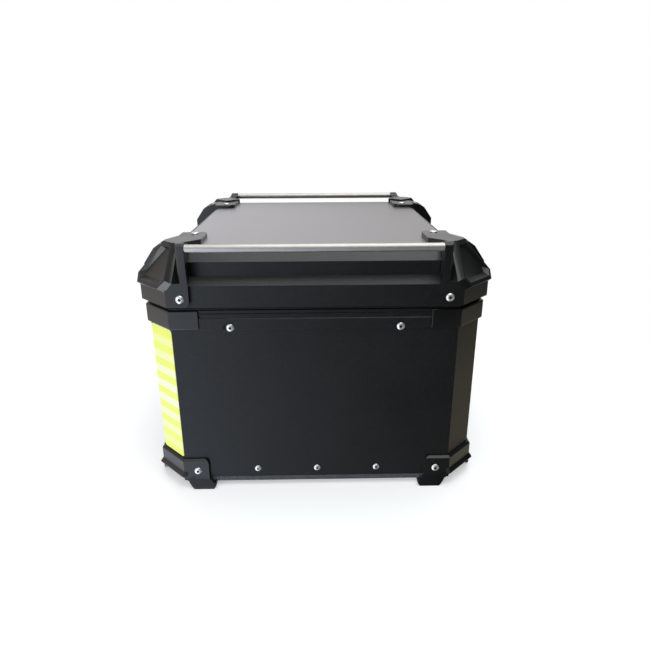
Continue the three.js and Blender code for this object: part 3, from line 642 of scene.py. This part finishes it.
def make_floor():
    """A wide round floor that takes the object's contact shadow.

    The object mirrors the world's ground and not this floor.
    """
    made = bmesh.new()
    bmesh.ops.create_circle(made, cap_ends=True, segments=96, radius=40)
    mesh = bpy.data.meshes.new("floor")
    made.to_mesh(mesh)
    made.free()
    mesh.materials.append(studio_floor())
    floor = bpy.data.objects.new("floor", mesh)
    floor.visible_glossy = False
    floor.visible_diffuse = False
    bpy.context.scene.collection.objects.link(floor)


def sky_ramp(tree, value, stops):
    """A colour that follows value, from (place, brightness, (red, green, blue)) stops."""
    ramp = tree.nodes.new("ShaderNodeValToRGB")
    tree.links.new(value, ramp.inputs[0])
    elements = ramp.color_ramp.elements
    while len(elements) < len(stops):
        elements.new(0.5)
    for element, (place, brightness, tint) in zip(elements, stops):
        element.position = place
        element.color = [channel * brightness for channel in tint] + [1]
    return ramp.outputs[0]


def sky_mix(tree, share, a, b):
    node = tree.nodes.new("ShaderNodeMix")
    node.data_type = "RGBA"
    sockets = (node.inputs["Factor"], node.inputs["A"], node.inputs["B"])
    for socket, value in zip(sockets, (share, a, b)):
        if isinstance(value, bpy.types.NodeSocket):
            tree.links.new(value, socket)
        else:
            socket.default_value = value
    return node.outputs["Result"]


def sky_range(tree, value, low, high, interpolation="SMOOTHSTEP"):
    """0 where value is low, 1 where it is high."""
    node = tree.nodes.new("ShaderNodeMapRange")
    node.interpolation_type = interpolation
    tree.links.new(value, node.inputs["Value"])
    node.inputs["From Min"].default_value = low
    node.inputs["From Max"].default_value = high
    return node.outputs[0]


def make_world():
    """White to the camera, and a room of soft light to the object.

    The room is bright and cool on the left, dark on the right, pale behind and grey above.
    """
    world = bpy.data.worlds.new("studio")
    world.use_nodes = True
    bpy.context.scene.world = world
    tree = world.node_tree
    cool = (0.8, 0.93, 1.12)
    warm = (1.08, 0.98, 0.9)
    olive = (1.1, 1.0, 0.76)
    white = (1, 1, 1)
    place = tree.nodes.new("ShaderNodeTexCoord")
    split = tree.nodes.new("ShaderNodeSeparateXYZ")
    tree.links.new(place.outputs["Generated"], split.inputs[0])
    across = sky_range(tree, split.outputs["X"], -1, 1, "LINEAR")
    ground = sky_ramp(
        tree,
        across,
        ((0.0, 0.3, warm), (0.32, 1.3, cool), (0.46, 0.28, white), (0.56, 0.0, white), (1.0, 0.3, olive)),
    )
    walls = sky_ramp(
        tree,
        across,
        (
            (0.0, 0.38, warm),
            (0.2, 0.16, warm),
            (0.34, 0.48, cool),
            (0.47, 0.12, white),
            (0.56, 0.0, white),
            (1.0, 0.02, white),
        ),
    )
    room = sky_mix(tree, sky_range(tree, split.outputs["Z"], -0.45, -0.2), ground, walls)
    behind = sky_range(tree, split.outputs["Y"], 0.5, 1.0)
    room = sky_mix(tree, behind, room, rgb(0.52, 0.51, 0.52))
    ceiling = sky_range(tree, split.outputs["Z"], 0.35, 0.8)
    room = sky_mix(tree, ceiling, room, rgb(0.16, 0.165, 0.165))
    strength = 2.0
    backdrop = rgb(1 / strength, 1 / strength, 1 / strength)
    path = tree.nodes.new("ShaderNodeLightPath")
    seen = sky_mix(tree, path.outputs["Is Camera Ray"], room, backdrop)
    tree.links.new(seen, tree.nodes["Background"].inputs["Color"])
    tree.nodes["Background"].inputs["Strength"].default_value = strength


def area_light(name, place, target, size, power, color):
    light = bpy.data.lights.new(name, "AREA")
    light.shape = "RECTANGLE"
    light.size, light.size_y = size
    light.energy = power
    light.color = color
    obj = bpy.data.objects.new(name, light)
    obj.location = place
    obj.rotation_mode = "QUATERNION"
    obj.rotation_quaternion = (Vector(target) - Vector(place)).to_track_quat("-Z", "Y")
    bpy.context.scene.collection.objects.link(obj)


def make_lights():
    """A wide softbox overhead and a small cool light from the front left."""
    middle = (CAD_BOX[0] + CAD_BOX[1]) / 2
    overhead = Vector((0.18, -0.3, 1.7))
    down = overhead - Vector((0.12, 0, 1))
    area_light("softbox_overhead", overhead, down, (2.6, 1.4), 26, (0.95, 1.0, 1.0))
    area_light("key_front_left", (-0.95, -1.3, 0.3), middle, (0.7, 0.5), 6, (0.86, 0.93, 1.0))


def make_camera():
    """Stands in front of the case's right side, a little above it and looking down."""
    data = bpy.data.cameras.new("camera")
    data.sensor_width = 36
    data.lens = 30.63
    data.clip_start = 0.01
    camera = bpy.data.objects.new("camera", data)
    yaw, pitch, roll = math.radians(1.055), math.radians(-20.064), math.radians(-0.228)
    turn = Matrix.Rotation(-yaw, 4, "Z") @ Matrix.Rotation(math.pi / 2 + pitch, 4, "X")
    stand = Vector((-0.0003, -0.7976, 0.4244))
    camera.matrix_world = Matrix.Translation(stand) @ turn @ Matrix.Rotation(roll, 4, "Z")
    bpy.context.scene.collection.objects.link(camera)
    bpy.context.scene.camera = camera


make_floor()
make_world()
make_lights()
make_camera()
bpy.context.scene.view_settings.view_transform = "Standard"
